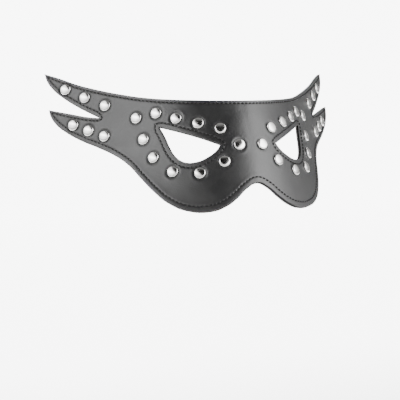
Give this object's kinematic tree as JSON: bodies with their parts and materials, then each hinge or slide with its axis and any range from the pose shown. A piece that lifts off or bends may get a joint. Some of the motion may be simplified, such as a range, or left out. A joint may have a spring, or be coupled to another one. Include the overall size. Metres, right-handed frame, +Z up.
{
  "type": "leather mask",
  "caption": "Black leather eye mask with two pointed wings on each side, half-moon eye holes and domed nickel rivets, bent as worn.",
  "frame": {"origin": "centre line of the inner face, where the bridge of the nose holds the mask", "axes": "+Z up, the mask faces -Y, the wearer's left is +X"},
  "size_m": [0.2524, 0.1342, 0.1039],
  "materials": {
    "face_leather": "smooth satin black with a fine grain",
    "backing_leather": "matt black",
    "nickel": "polished",
    "thread": "black waxed thread"
  },
  "bodies": {
    "root": {"face_leather": "face_leather", "backing_leather": "backing_leather", "rivet_left_eye_1": "nickel", "rivet_left_eye_2": "nickel", "rivet_left_eye_3": "nickel", "rivet_left_eye_4": "nickel", "rivet_left_eye_5": "nickel", "rivet_left_eye_6": "nickel", "rivet_left_eye_7": "nickel", "rivet_left_eye_8": "nickel", "rivet_left_eye_9": "nickel", "rivet_left_eye_10": "nickel", "rivet_left_eye_11": "nickel", "rivet_left_upper_wing_1": "nickel", "rivet_left_upper_wing_2": "nickel", "rivet_left_upper_wing_3": "nickel", "rivet_left_lower_wing_1": "nickel", "rivet_left_lower_wing_2": "nickel", "rivet_left_lower_wing_3": "nickel", "rivet_right_eye_1": "nickel", "rivet_right_eye_2": "nickel", "rivet_right_eye_3": "nickel", "rivet_right_eye_4": "nickel", "rivet_right_eye_5": "nickel", "rivet_right_eye_6": "nickel", "rivet_right_eye_7": "nickel", "rivet_right_eye_8": "nickel", "rivet_right_eye_9": "nickel", "rivet_right_eye_10": "nickel", "rivet_right_eye_11": "nickel", "rivet_right_upper_wing_1": "nickel", "rivet_right_upper_wing_2": "nickel", "rivet_right_upper_wing_3": "nickel", "rivet_right_lower_wing_1": "nickel", "rivet_right_lower_wing_2": "nickel", "rivet_right_lower_wing_3": "nickel"}
  },
  "joints": []
}
